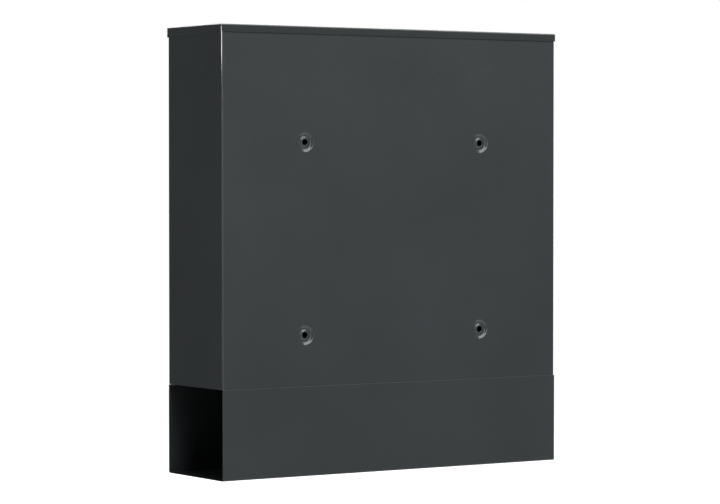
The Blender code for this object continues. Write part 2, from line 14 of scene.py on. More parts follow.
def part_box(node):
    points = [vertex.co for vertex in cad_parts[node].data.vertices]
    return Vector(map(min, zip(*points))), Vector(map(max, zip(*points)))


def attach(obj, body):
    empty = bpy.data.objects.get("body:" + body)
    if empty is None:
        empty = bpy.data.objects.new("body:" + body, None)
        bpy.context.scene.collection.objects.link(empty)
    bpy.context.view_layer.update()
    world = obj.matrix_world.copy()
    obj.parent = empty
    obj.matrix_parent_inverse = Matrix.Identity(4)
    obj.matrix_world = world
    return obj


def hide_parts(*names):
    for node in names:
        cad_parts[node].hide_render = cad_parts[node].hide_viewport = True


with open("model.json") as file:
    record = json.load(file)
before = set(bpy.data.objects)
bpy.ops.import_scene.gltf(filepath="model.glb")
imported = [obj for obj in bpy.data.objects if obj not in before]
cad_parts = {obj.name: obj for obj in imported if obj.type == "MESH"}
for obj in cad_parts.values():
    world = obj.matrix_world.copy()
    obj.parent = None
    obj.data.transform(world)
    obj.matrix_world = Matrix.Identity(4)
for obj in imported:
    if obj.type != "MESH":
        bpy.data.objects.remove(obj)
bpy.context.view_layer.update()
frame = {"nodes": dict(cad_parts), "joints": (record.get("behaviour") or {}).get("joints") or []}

# ---- dimensions of the sheet work, metres ----
SHEET = 0.0006
GAP = 0.0003
BEND = 0.0006                # inner radius of a bend
EDGE = 0.00012               # rounding of cut edges
TRAY_EDGE = 1.6 * EDGE
WELD = 0.0001                # how far tabs run into the sheet they belong to
STOP_LIP = 0.006             # width of the lip behind the door's edge
STOP_BEHIND = 0.003          # how far the lip and the rails reach behind the door
FIX_SPACING_X = 0.200
FIX_SPACING_Z = 0.180
SLOT_WIDTH = 0.340
SLOT_HEIGHT = 0.045
SLOT_BELOW_TOP = 0.013
STOP_INSET = 0.0035
STOP_HEIGHT = 0.010
CAP_FLANGE = 0.0073
CAP_LIP = 0.0092
HEM = 0.0010
HEM_HEIGHT = 0.0032
TRAY_BEND = 0.0019
FLANGE = 0.012
LAP = 0.012
UPSTAND = 0.010
EAR_DEPTH = 0.009            # slot panel's ears, which carry the flap's pivots
EAR_HEIGHT = 0.012
FLAP_EAR_DEPTH = 0.007
FLAP_EAR_HEIGHT = 0.010
FLAP_HOOD = 0.004            # flap's top return
FLAP_FOOT = 0.0015           # flap's foot over the foot of the slot
FLAP_BREAK = 0.0035          # height of the finger lip's bend over the flap's foot
FLAP_LIP = 0.005             # how far the finger lip stands out
CARD_EDGE = 0.00005
COVER_EDGE = 0.0003
COVER_CORNER = 0.0015

# fixing holes: each in a round groove, with a collar round the hole
HOLE_RADIUS = 0.0029
COLLAR_RADIUS = 0.0037
COLLAR_DEPTH = 0.0004
GROOVE_INNER = 0.0056
GROOVE_OUTER = 0.0064
GROOVE_DEPTH = 0.0015
DIMPLE_RADIUS = 0.0092
RIM = 0.0004                 # how far a pressed ring runs under the panel's face
SKIN = 0.00002               # how deep it lies there

# rivets, pivots and pins
RIVET_RADIUS = 0.0016
RIVET_HOLE = RIVET_RADIUS + GAP
RIVET_DOME = 0.0012          # height of a rivet's head
TAIL_HEIGHT = 0.0017         # height of a rivet's drawn tail
TAIL_ROUND = 0.0008
TAIL_BORE = 0.0009
PIVOT_RADIUS = 0.0012
PIVOT_HEAD = 0.0008
PIVOT_TAIL = 0.0010
PIVOT_REACH = 0.004          # half length of the cutter for a pivot's hole
PIN_RADIUS = 0.0015
PIN_HOLE = PIN_RADIUS + GAP
PIN_HEAD = 0.0014
PIN_REACH = 0.003            # half length of the cutter for a pin's hole
SOFT = 0.0004                # rounding of small turned corners
HEAD_SOFT = 0.0005           # rounding of small turned heads

# lock
LOCK_RADIUS = 0.00875
LOCK_FACE = 0.0110
LOCK_FACE_HEIGHT = 0.0023
FACE_ROUND = 0.0012
THREAD_START = 0.0008
THREAD_PITCH = 0.0010
THREAD_DEPTH = 0.0004
NUT_REACH = 0.010
PLUG_RADIUS = 0.0059
BOSS = 0.0064                # square end of the plug, which the cam sits on
BOSS_ROOT = 0.002            # how far the boss runs into the plug
KEY_REACH = 0.006            # keyway, in front of the lock's origin
KEY_DEPTH = 0.004            # keyway, behind it
KEY_HALF = 0.0006
KEY_HEIGHT = 0.0033
CAM_TIP = 0.006
CAM_HUB = 0.008
CAM_EDGE = 0.0002
SCREW_RADIUS = 0.0016
SCREW_SEAT = 0.0020          # height of the screw's head
SCREW_EDGE = 0.0001
CROSS_DEPTH = 0.0014
CROSS_HALF = 0.0005
CROSS_REACH = 0.0022
TAP_DEPTH = 0.0065

ARC_STEPS = 8
FINE = 64                    # segments of a large turned piece
COARSE = 32                  # segments of a small one

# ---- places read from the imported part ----
SHELL_LOW, SHELL_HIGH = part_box("housing_shell")
CAP_LOW, CAP_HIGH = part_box("top_cap")
TRAY_LOW, TRAY_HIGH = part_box("newspaper_tray")
FLOOR_LOW, FLOOR_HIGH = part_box("floor_panel")
SLOT_LOW, SLOT_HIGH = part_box("slot_panel")
FLAP_LOW, FLAP_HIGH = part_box("mail_flap")
DOOR_LOW, DOOR_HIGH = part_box("door_panel")
JOINTS = {joint["name"]: Vector(joint["pos_m"]) for joint in frame["joints"]}
LOCK = JOINTS["lock_turn"]
FLAP_PIVOT = JOINTS["flap_hinge"]
DOOR_PIVOT = JOINTS["door_hinge"]

OUTER_BEND = BEND + SHEET
MID_BEND = BEND + SHEET / 2
HALF = SHELL_HIGH.x
BACK = SHELL_HIGH.y
FRONT = SHELL_LOW.y
BODY_TOP = SHELL_HIGH.z
TOP = CAP_HIGH.z
BOTTOM = TRAY_LOW.z
SEAM = TRAY_HIGH.z
OPEN_HALF = SLOT_HIGH.x + GAP
RAIL_TOP = FLOOR_HIGH.z
HEAD_BOTTOM = SLOT_LOW.z
SLOT_TOP = TOP - SLOT_BELOW_TOP
SLOT_BOTTOM = SLOT_TOP - SLOT_HEIGHT
SLOT_HALF = SLOT_WIDTH / 2
STOP_Y = FRONT + STOP_INSET
STOP_BACK = DOOR_HIGH.y + STOP_BEHIND
FIX_POINTS = [Vector((x, BACK, z)) for x in (-FIX_SPACING_X / 2, FIX_SPACING_X / 2)
              for z in (-FIX_SPACING_Z / 2, FIX_SPACING_Z / 2)]
RIVETS = [name for name in frame["nodes"] if name.startswith("tray_rivet")]
INTO_BOX = Matrix.Rotation(radians(-90), 4, "X")     # turns +Z into +Y
OUT_OF_BACK = Matrix.Rotation(radians(90), 4, "X")   # turns +Z into -Y
ALONG_X = Matrix.Rotation(radians(90), 4, "Y")       # turns +Z into +X
AT_LOCK = Matrix.Translation(LOCK) @ INTO_BOX

# ---- camera and lights ----
CAMERA_PLACE = (1.5737, 2.3318, 0.0608)
CAMERA_HEADING = -123.343    # degrees from +X, anticlockwise from above
CAMERA_TILT = -1.520         # degrees above the horizontal
LENS = 148.0


def add_camera():
    data = bpy.data.cameras.new("camera")
    data.sensor_width = 36.0
    data.lens = LENS
    data.clip_start = 0.05
    data.clip_end = 100.0
    camera = bpy.data.objects.new("camera", data)
    bpy.context.scene.collection.objects.link(camera)
    heading = radians(CAMERA_HEADING)
    tilt = radians(CAMERA_TILT)
    aim = Vector((cos(tilt) * cos(heading), cos(tilt) * sin(heading), sin(tilt)))
    camera.location = CAMERA_PLACE
    camera.rotation_euler = aim.to_track_quat("-Z", "Y").to_euler()
    bpy.context.scene.camera = camera


def add_softbox(name, heading, height, distance, width, tall, glow, target=0.0, shaded=()):
    """Add a rectangular light that faces the object.

    Heading and height are degrees round and above the object; glow is the light's radiance; target is the
    level that it faces; shaded names the pieces that a flag keeps it off.
    """
    data = bpy.data.lights.new(name, "AREA")
    data.shape = "RECTANGLE"
    data.size = width
    data.size_y = tall
    data.energy = glow * pi * width * tall
    light = bpy.data.objects.new(name, data)
    light.visible_camera = False
    bpy.context.scene.collection.objects.link(light)
    turn = radians(heading)
    rise = radians(height)
    outward = Vector((cos(turn) * cos(rise), sin(turn) * cos(rise), sin(rise)))
    light.location = Vector((0, 0, target)) + outward * distance
    light.rotation_euler = (-outward).to_track_quat("-Z", "Y").to_euler()
    if shaded:
        receivers = bpy.data.collections.new(f"{name}_receivers")
        for piece in shaded:
            receivers.objects.link(bpy.data.objects[piece])
        for member in receivers.collection_objects:
            member.light_linking.link_state = "EXCLUDE"
        light.light_linking.receiver_collection = receivers


def add_world(ambient, below):
    """A white background, a dim even light on the object, and a pale floor's glow from below."""
    world = bpy.data.worlds.new("studio")
    bpy.context.scene.world = world
    world.use_nodes = True
    nodes = world.node_tree.nodes
    links = world.node_tree.links
    nodes.clear()
    seen = nodes.new("ShaderNodeBackground")
    seen.inputs["Color"].default_value = (1.0, 1.0, 1.0, 1.0)
    light = nodes.new("ShaderNodeBackground")
    light.inputs["Color"].default_value = (0.95, 0.98, 1.0, 1.0)
    direction = nodes.new("ShaderNodeTexCoord")
    parts = nodes.new("ShaderNodeSeparateXYZ")
    glow = nodes.new("ShaderNodeMapRange")
    glow.interpolation_type = "SMOOTHSTEP"
    glow.inputs["From Min"].default_value = -0.6
    glow.inputs["From Max"].default_value = -0.1
    glow.inputs["To Min"].default_value = below
    glow.inputs["To Max"].default_value = ambient
    rays = nodes.new("ShaderNodeLightPath")
    mix = nodes.new("ShaderNodeMixShader")
    out = nodes.new("ShaderNodeOutputWorld")
    links.new(direction.outputs["Generated"], parts.inputs["Vector"])
    links.new(parts.outputs["Z"], glow.inputs["Value"])
    links.new(glow.outputs["Result"], light.inputs["Strength"])
    links.new(rays.outputs["Is Camera Ray"], mix.inputs["Fac"])
    links.new(light.outputs["Background"], mix.inputs[1])
    links.new(seen.outputs["Background"], mix.inputs[2])
    links.new(mix.outputs["Shader"], out.inputs["Surface"])


def add_stage():
    """A plain pale floor, well under the object."""
    builder = bmesh.new()
    bmesh.ops.create_grid(builder, x_segments=1, y_segments=1, size=40.0)
    mesh = bpy.data.meshes.new("studio_floor")
    builder.to_mesh(mesh)
    builder.free()
    floor = bpy.data.objects.new("studio_floor", mesh)
    bpy.context.scene.collection.objects.link(floor)
    floor.location = (0, 0, BOTTOM - 0.38)
    look = bpy.data.materials.new("pale_floor")
    look.use_nodes = True
    shader = look.node_tree.nodes["Principled BSDF"]
    shader.inputs["Base Color"].default_value = (0.9, 0.9, 0.9, 1.0)
    shader.inputs["Roughness"].default_value = 0.9
    shader.inputs["Emission Color"].default_value = (1.0, 1.0, 1.0, 1.0)
    shader.inputs["Emission Strength"].default_value = 0.97
    mesh.materials.append(look)
    floor.visible_glossy = False
    floor.visible_diffuse = False


# ---- materials ----
class Look:
    """A Principled material and the few nodes that vary it."""

    def __init__(self, name, **uniform):
        self.material = bpy.data.materials.new(name)
        self.material.use_nodes = True
        self.tree = self.material.node_tree
        self.shader = self.tree.nodes["Principled BSDF"]
        self.place = self.tree.nodes.new("ShaderNodeTexCoord").outputs["Object"]
        for socket, value in uniform.items():
            self.shader.inputs[socket.replace("_", " ")].default_value = value

    def noise(self, scale, detail=3.0, stretch=None):
        """Return a noise's value. Scale is in features per metre."""
        node = self.tree.nodes.new("ShaderNodeTexNoise")
        node.inputs["Scale"].default_value = scale
        node.inputs["Detail"].default_value = detail
        source = self.place
        if stretch:
            mapping = self.tree.nodes.new("ShaderNodeMapping")
            mapping.inputs["Scale"].default_value = stretch
            self.tree.links.new(source, mapping.inputs["Vector"])
            source = mapping.outputs["Vector"]
        self.tree.links.new(source, node.inputs["Vector"])
        return node.outputs["Fac"]

    def cells(self, scale):
        """Return a random grey value for each cell of a crystal pattern."""
        node = self.tree.nodes.new("ShaderNodeTexVoronoi")
        node.inputs["Scale"].default_value = scale
        self.tree.links.new(self.place, node.inputs["Vector"])
        grey = self.tree.nodes.new("ShaderNodeSeparateColor")
        self.tree.links.new(node.outputs["Color"], grey.inputs["Color"])
        return grey.outputs["Red"]

    def ramp(self, value, low, high, start=0.3, end=0.7):
        """Return a colour between two, as value goes from start to end."""
        node = self.tree.nodes.new("ShaderNodeValToRGB")
        node.color_ramp.elements[0].position = start
        node.color_ramp.elements[1].position = end
        node.color_ramp.elements[0].color = (*low, 1.0)
        node.color_ramp.elements[1].color = (*high, 1.0)
        self.tree.links.new(value, node.inputs["Fac"])
        return node.outputs["Color"]

    def between(self, value, low, high):
        """Return a number between two, as value goes from 0.3 to 0.7."""
        node = self.tree.nodes.new("ShaderNodeMapRange")
        node.inputs["From Min"].default_value = 0.3
        node.inputs["From Max"].default_value = 0.7
        node.inputs["To Min"].default_value = low
        node.inputs["To Max"].default_value = high
        self.tree.links.new(value, node.inputs["Value"])
        return node.outputs["Result"]

    def colour(self, value):
        self.tree.links.new(value, self.shader.inputs["Base Color"])

    def roughness(self, value):
        self.tree.links.new(value, self.shader.inputs["Roughness"])

    def bump(self, *layers):
        """Add bumps, each a height value and its height in metres."""
        below = None
        for value, height in layers:
            node = self.tree.nodes.new("ShaderNodeBump")
            node.inputs["Distance"].default_value = height
            self.tree.links.new(value, node.inputs["Height"])
            if below:
                self.tree.links.new(below, node.inputs["Normal"])
            below = node.outputs["Normal"]
        self.tree.links.new(below, self.shader.inputs["Normal"])


def powder_coat():
    """Semi-gloss anthracite powder coat: fine orange peel, and a slow change of tone and sheen."""
    look = Look("anthracite_powder_coat", Specular_IOR_Level=0.25, Coat_Weight=0.9, Coat_Roughness=0.06)
    slow = look.noise(9.0, 2.0)
    look.colour(look.ramp(slow, (0.0375, 0.0428, 0.0445), (0.0425, 0.0485, 0.0505)))
    look.roughness(look.between(look.noise(260.0, 4.0), 0.33, 0.42))
    look.bump((look.noise(700.0, 2.0), 0.000008), (look.noise(4200.0, 2.0), 0.000002))
    return look.material


def zinc():
    """Bright zinc plate with a fine spangle and rubbed roughness."""
    look = Look("zinc_plate", Metallic=1.0)
    look.colour(look.ramp(look.cells(900.0), (0.50, 0.52, 0.53), (0.68, 0.69, 0.68), 0.0, 1.0))
    look.roughness(look.between(look.noise(1800.0, 4.0), 0.26, 0.42))
    look.bump((look.noise(2600.0, 3.0), 0.00001))
    return look.material


def nickel():
    """Satin nickel plate with turned marks."""
    look = Look("nickel_plate", Metallic=1.0)
    look.colour(look.ramp(look.noise(240.0, 3.0), (0.60, 0.58, 0.54), (0.70, 0.68, 0.63)))
    look.roughness(look.between(look.noise(1500.0, 4.0, (1.0, 0.2, 1.0)), 0.16, 0.28))
    look.bump((look.noise(5000.0, 2.0), 0.000003))
    return look.material


def rubber():
    """Matt black rubber with a dusty grain."""
    look = Look("black_rubber", Specular_IOR_Level=0.3)
    look.colour(look.ramp(look.noise(900.0, 4.0), (0.012, 0.012, 0.012), (0.026, 0.025, 0.024)))
    look.roughness(look.between(look.noise(1400.0, 3.0), 0.62, 0.85))
    look.bump((look.noise(6000.0, 3.0), 0.00002))
    return look.material


def nylon():
    """Natural nylon, slightly see-through."""
    look = Look("natural_nylon", Subsurface_Weight=0.15)
    look.shader.inputs["Subsurface Radius"].default_value = (0.001, 0.001, 0.0008)
    look.colour(look.ramp(look.noise(800.0, 3.0), (0.72, 0.71, 0.66), (0.82, 0.81, 0.77)))
    look.roughness(look.between(look.noise(1500.0, 3.0), 0.4, 0.55))
    look.bump((look.noise(4000.0, 2.0), 0.000008))
    return look.material


def clear_plastic():
    """Clear acrylic with light handling marks."""
    look = Look("clear_acrylic", Transmission_Weight=1.0, IOR=1.49)
    look.colour(look.ramp(look.noise(60.0, 2.0), (0.95, 0.97, 0.97), (0.98, 0.99, 0.99)))
    look.roughness(look.between(look.noise(700.0, 5.0), 0.02, 0.07))
    look.bump((look.noise(300.0, 2.0), 0.000004))
    return look.material


def card():
    """Uncoated white card with a fibre grain."""
    look = Look("white_card", Specular_IOR_Level=0.2)
    look.colour(look.ramp(look.noise(1500.0, 5.0, (1.0, 1.0, 3.0)), (0.76, 0.755, 0.73), (0.86, 0.855, 0.83)))
    look.roughness(look.between(look.noise(900.0, 3.0), 0.8, 0.95))
    look.bump((look.noise(3000.0, 4.0), 0.00001))
    return look.material


LOOKS = {
    "powder_coat": powder_coat(),
    "zinc_steel": zinc(),
    "nickel": nickel(),
    "rubber": rubber(),
    "nylon": nylon(),
    "clear_plastic": clear_plastic(),
    "card": card(),
}


# ---- making pieces ----
def link_mesh(name, builder):
    """Turn a bmesh of closed shapes into a linked object."""
    bmesh.ops.recalc_face_normals(builder, faces=builder.faces)
    mesh = bpy.data.meshes.new(name)
    builder.to_mesh(mesh)
    builder.free()
    thing = bpy.data.objects.new(name, mesh)
    bpy.context.scene.collection.objects.link(thing)
    return thing


def remove_mesh(thing):
    mesh = thing.data
    bpy.data.objects.remove(thing)
    bpy.data.meshes.remove(mesh)


def finish(name, builder, body, slot, nodes, steps=(), sharp=38.0):
    """Make a piece from a bmesh: do its steps in order, shade it, and let it stand for CAD nodes.

    A step is ("ROUND", width of the rounded edges), or "UNION", "DIFFERENCE" or "INTERSECT" with a function
    that builds the other shape.
    """
    rough = link_mesh(name, builder)
    tools = []
    for kind, what in steps:
        if kind == "ROUND":
            rounding = rough.modifiers.new("rounding", "BEVEL")
            rounding.width = what
            rounding.segments = 2
            rounding.limit_method = "ANGLE"
            rounding.angle_limit = radians(50)
            rounding.use_clamp_overlap = False
            continue
        shape = bmesh.new()
        what(shape)
        tools.append(link_mesh(f"{name}_tool", shape))
        boolean = rough.modifiers.new("boolean", "BOOLEAN")
        boolean.operation = kind
        boolean.solver = "EXACT"
        boolean.object = tools[-1]
    bpy.context.view_layer.update()
    evaluated = rough.evaluated_get(bpy.context.evaluated_depsgraph_get())
    mesh = bpy.data.meshes.new_from_object(evaluated)
    remove_mesh(rough)
    for tool in tools:
        remove_mesh(tool)
    mesh.name = name
    piece = bpy.data.objects.new(name, mesh)
    bpy.context.scene.collection.objects.link(piece)
    mesh.shade_smooth()
    mesh.set_sharp_from_angle(angle=radians(sharp))
    mesh.materials.clear()
    mesh.materials.append(LOOKS[slot])
    weighted = piece.modifiers.new("weighted", "WEIGHTED_NORMAL")
    weighted.keep_sharp = True
    weighted.weight = 90
    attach(piece, body)
    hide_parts(*nodes)
    return piece


def rounded_path(path, radii, steps=ARC_STEPS):
    """Return (point, left normal) pairs along a path whose inner corners are arcs of the given radii."""
    points = [Vector(point) for point in path]
    heading = (points[1] - points[0]).normalized()
    line = [(points[0], Vector((-heading.y, heading.x)))]
    for before, corner, after, radius in zip(points, points[1:], points[2:], radii):
        arrive = (corner - before).normalized()
        leave = (after - corner).normalized()
        turn = atan2(arrive.cross(leave), arrive.dot(leave))
        side = 1 if turn > 0 else -1
        left = Vector((-arrive.y, arrive.x))
        centre = corner - arrive * radius * tan(abs(turn) / 2) + left * radius * side
        for step in range(steps + 1):
            normal = Matrix.Rotation(turn * step / steps, 2) @ left
            line.append((centre - normal * radius * side, normal))
    heading = (points[-1] - points[-2]).normalized()
    line.append((points[-1], Vector((-heading.y, heading.x))))
    return line


def sheet_outline(path, radii=None, thickness=SHEET):
    """Return the closed outline of a folded sheet whose middle follows a path."""
    line = rounded_path(path, radii or [MID_BEND] * (len(path) - 2))
    left = [point + normal * thickness / 2 for point, normal in line]
    right = [point - normal * thickness / 2 for point, normal in line]
    return left + right[::-1]


def add_prism(builder, outline, axis, low, high):
    """Add a prism: an (x, y) outline along Z, or a (y, z) outline along X."""
    place = {"Z": lambda u, v, w: (u, v, w), "X": lambda u, v, w: (w, u, v)}[axis]
    lower = [builder.verts.new(place(u, v, low)) for u, v in outline]
    pushed = bmesh.ops.extrude_face_region(builder, geom=[builder.faces.new(lower)])
    upper = [item for item in pushed["geom"] if isinstance(item, bmesh.types.BMVert)]
    bmesh.ops.translate(builder, verts=upper, vec=Vector(place(0, 0, high - low)))


def add_box(builder, low, high):
    size = Vector(high) - Vector(low)
    made = bmesh.ops.create_cube(builder, size=1.0)["verts"]
    bmesh.ops.scale(builder, vec=size, verts=made)
    bmesh.ops.translate(builder, vec=(Vector(high) + Vector(low)) / 2, verts=made)
    return made


def add_turned(builder, profile, segments=48, ring=False, place=None):
    """Add a solid of revolution about Z from (radius, height) points; a ring's profile is a closed loop."""
    rows = []
    for radius, height in profile:
        if radius == 0:
            rows.append([builder.verts.new((0, 0, height))] * segments)
            continue
        angles = [2 * pi * step / segments for step in range(segments)]
        rows.append([builder.verts.new((radius * cos(a), radius * sin(a), height)) for a in angles])
    pairs = list(zip(rows, rows[1:]))
    if ring:
        pairs.append((rows[-1], rows[0]))
    for low, high in pairs:
        for step in range(segments):
            after = (step + 1) % segments
            corners = [low[step], low[after], high[after], high[step]]
            builder.faces.new(list(dict.fromkeys(corners)))
    if place:
        moved = {vert for row in rows for vert in row}
        bmesh.ops.transform(builder, matrix=place, verts=list(moved))


def boxes(pairs):
    """Return a build step that adds boxes, each given by two corners."""
    def build(builder):
        for low, high in pairs:
            add_box(builder, low, high)
    return build


def holes(radius, centres, turn, length=0.006, segments=40):
    """Return a build step that adds a round cutter at each centre."""
    profile = [(0, -length), (radius, -length), (radius, length), (0, length)]

    def build(builder):
        for centre in centres:
            add_turned(builder, profile, segments, place=Matrix.Translation(centre) @ turn)
    return build


def arc(centre_r, centre_h, radius, start, end, steps=6):
    """Return (radius, height) points on an arc, from one angle to another in degrees."""
    angles = [radians(start + (end - start) * step / steps) for step in range(steps + 1)]
    return [(centre_r + radius * cos(angle), centre_h + radius * sin(angle)) for angle in angles]


def eased(stations, steps=6):
    """Return (radius, height) points through stations, with an S-curve between each two heights."""
    line = [stations[0]]
    for (radius_a, height_a), (radius_b, height_b) in zip(stations, stations[1:]):
        for step in range(1, steps + 1):
            share = step / steps
            rise = (1 - cos(pi * share)) / 2
            line.append((radius_a + (radius_b - radius_a) * share, height_a + (height_b - height_a) * rise))
    return line


def mirrored(low, high):
    """Return the box between two corners and its mirror image across x = 0."""
    return [(low, high), ((-high[0], low[1], low[2]), (-low[0], high[1], high[2]))]


def turned(name, profile, centre, turn, body, slot, ring=False, segments=48, steps=()):
    """Make a turned piece that replaces the CAD node of the same name."""
    builder = bmesh.new()
    add_turned(builder, profile, segments, ring, Matrix.Translation(centre) @ turn)
    return finish(f"{name}_look", builder, body, slot, [name], steps)


def folded(name, path, low, high, steps=(), radii=None, axis="X", body="housing"):
    """Make a folded sheet piece that replaces the CAD node of the same name."""
    builder = bmesh.new()
    add_prism(builder, sheet_outline(path, radii), axis, low, high)
    return finish(f"{name}_look", builder, body, "powder_coat", [name], steps)


def pan(name, low, high, open_side, body, steps):
    """Make a five-sided sheet pan, open towards +Y or -Z, with bent edges."""
    def box_with_bends(builder, inset):
        grow = Vector((inset, inset, inset))
        low_in = Vector(low) + grow
        high_in = Vector(high) - grow
        if inset:
            if open_side == "+Y":
                high_in.y = high[1] + LAP
            else:
                low_in.z = low[2] - LAP
        verts = add_box(builder, low_in, high_in)
        builder.normal_update()
        faces = {face for vert in verts for face in vert.link_faces}
        facing = Vector((0, 1, 0)) if open_side == "+Y" else Vector((0, 0, -1))
        is_open = max(faces, key=lambda face: face.normal.dot(facing))
        open_edges = set(is_open.edges)
        edges = {edge for vert in verts for edge in vert.link_edges} - open_edges
        bmesh.ops.bevel(builder, geom=list(edges), offset=OUTER_BEND - inset, segments=6, profile=0.5,
                        affect="EDGES")

    builder = bmesh.new()
    box_with_bends(builder, 0.0)
    hollow = ("DIFFERENCE", lambda cutter: box_with_bends(cutter, SHEET))
    return finish(f"{name}_look", builder, body, "powder_coat", [name], [hollow, *steps])


# ---- housing ----
def add_dimples(builder):
    """Pressed rings with soft flanks, each with a rounded collar round its hole."""
    face = eased([(DIMPLE_RADIUS + RIM, SKIN), (GROOVE_OUTER, GROOVE_DEPTH), (GROOVE_INNER, GROOVE_DEPTH),
                  (COLLAR_RADIUS, COLLAR_DEPTH)], 8)
    face += arc(HOLE_RADIUS + SHEET / 2, COLLAR_DEPTH + SHEET / 2, SHEET / 2, -90, -180, 5)
    under = eased([(HOLE_RADIUS, COLLAR_DEPTH + SHEET), (COLLAR_RADIUS, COLLAR_DEPTH + SHEET),
                   (GROOVE_INNER, GROOVE_DEPTH + SHEET), (GROOVE_OUTER, GROOVE_DEPTH + SHEET),
                   (DIMPLE_RADIUS + RIM, SHEET - SKIN)], 6)
    for point in FIX_POINTS:
        add_turned(builder, face + under, FINE, True, Matrix.Translation(point) @ OUT_OF_BACK)


def make_housing_shell():
    """Back and sides folded from one sheet, with stiles, their returns and the door's stop lips."""
    side = HALF - SHEET / 2
    stile = FRONT + SHEET / 2
    inner = OPEN_HALF + SHEET / 2
    lip = STOP_BACK - SHEET / 2
    right = [(inner - STOP_LIP, lip), (inner, lip), (inner, stile), (side, stile), (side, BACK - SHEET / 2)]
    path = [(-x, y) for x, y in right] + right[::-1]
    below = SEAM - 2 * LAP
    under = [((-HALF - LAP, FRONT - LAP, below), (HALF + LAP, BACK - OUTER_BEND, SEAM))]
    corners = mirrored((HALF - 2 * OUTER_BEND, BACK - 2 * OUTER_BEND, below), (HALF + LAP, LAP, SEAM))
    feet = mirrored((OPEN_HALF - STOP_LIP - GAP, FRONT + SHEET + GAP, below),
                    (OPEN_HALF + 2 * OUTER_BEND, DOOR_HIGH.y + LAP, SEAM + SHEET + GAP))
    steps = [("DIFFERENCE", boxes(under)), ("DIFFERENCE", boxes(corners)), ("DIFFERENCE", boxes(feet)),
             ("ROUND", EDGE), ("DIFFERENCE", holes(DIMPLE_RADIUS, FIX_POINTS, OUT_OF_BACK, segments=FINE)),
             ("UNION", add_dimples)]
    folded("housing_shell", path, SEAM - LAP, BODY_TOP, steps, axis="Z")


def make_top_cap():
    """Cap that laps over the shell, with a rolled hem along the foot of its front lip."""
    lip = CAP_LOW.y + HEM
    foot = TOP - CAP_LIP
    wide = 2 * HALF
    flanges = [((-wide, FRONT + OUTER_BEND, foot - CAP_LIP), (wide, CAP_LIP, TOP - CAP_FLANGE))]
    path = [(lip + SHEET / 2, foot), (lip - HEM, foot), (lip - HEM, foot + HEM_HEIGHT),
            (lip + SHEET / 2, foot + HEM_HEIGHT)]
    outline = [point for point, _ in rounded_path(path, [HEM / 2] * 2)]

    def add_hem(builder):
        add_prism(builder, outline, "X", -HALF, HALF)
    pan("top_cap", (CAP_LOW.x, lip, foot), CAP_HIGH, "-Z", "housing",
        [("DIFFERENCE", boxes(flanges)), ("UNION", add_hem), ("ROUND", EDGE)])


def rivet_middle(name):
    low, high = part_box(name)
    return Vector(((low.x + high.x) / 2, (low.y + high.y) / 2, SEAM))


def make_floor_panel():
    """Floor of the letter compartment, folded up at the back and into the lower rail at the front."""
    rear = FLOOR_HIGH.y - SHEET / 2
    floor = SEAM + SHEET / 2
    rail = RAIL_TOP - SHEET / 2
    front = FRONT + SHEET / 2
    path = [(rear, SEAM + UPSTAND), (rear, floor), (front, floor), (front, rail), (SLOT_HIGH.y, rail)]
    near = OPEN_HALF - GAP
    far = HALF + LAP
    behind = STOP_BACK + GAP
    upper = mirrored((near, FRONT - LAP, SEAM + SHEET), (far, behind, RAIL_TOP + LAP))
    lower = mirrored((near, FRONT - LAP, SEAM - LAP), (far, FRONT + SHEET + GAP, RAIL_TOP + LAP))
    rivets = [rivet_middle(name) for name in RIVETS]
    pin = [(DOOR_PIVOT.x, DOOR_PIVOT.y, RAIL_TOP)]
    steps = [("DIFFERENCE", boxes(upper)), ("DIFFERENCE", boxes(lower)), ("ROUND", EDGE),
             ("DIFFERENCE", holes(RIVET_HOLE, rivets, Matrix())),
             ("DIFFERENCE", holes(PIN_HOLE, pin, Matrix(), PIN_REACH))]
    folded("floor_panel", path, FLOOR_LOW.x, FLOOR_HIGH.x, steps)


def make_newspaper_tray():
    """U-shaped sheet with open ends, lapped over the back panel and flanged under the floor."""
    rear = TRAY_HIGH.y - SHEET / 2
    front = FRONT + SHEET / 2
    foot = BOTTOM + SHEET / 2
    flange = SEAM - GAP - SHEET / 2
    path = [(rear, SEAM), (rear, foot), (front, foot), (front, flange), (FRONT + FLANGE, flange)]
    rivets = [rivet_middle(name) for name in RIVETS]
    steps = [("ROUND", TRAY_EDGE), ("DIFFERENCE", holes(RIVET_HOLE, rivets, Matrix()))]
    folded("newspaper_tray", path, TRAY_LOW.x, TRAY_HIGH.x, steps, [MID_BEND, TRAY_BEND, MID_BEND])


def make_tray_rivets():
    """Blind rivets: a low dome under the tray's flange, a drawn tail with a hollow end above."""
    under = -(2 * GAP + SHEET)
    over = SHEET + GAP
    head = 2 * RIVET_RADIUS
    tail = 1.5 * RIVET_RADIUS
    dome = [(head * sin(radians(angle)), under - RIVET_DOME * cos(radians(angle)))
            for angle in range(10, 91, 10)]
    shank = [(RIVET_RADIUS, under), (RIVET_RADIUS, over), (tail - GAP, over), (tail, over + SOFT)]
    drawn = arc(tail - TAIL_ROUND, over + TAIL_HEIGHT - TAIL_ROUND, TAIL_ROUND, 0, 90)
    bottom = over + TAIL_HEIGHT - 2 * GAP
    hollow = [(TAIL_BORE, over + TAIL_HEIGHT), (TAIL_BORE - GAP, bottom), (0, bottom)]
    profile = [(0, under - RIVET_DOME)] + dome + shank + drawn + hollow
    for name in RIVETS:
        turned(name, profile, rivet_middle(name), Matrix(), "housing", "zinc_steel", segments=COARSE)


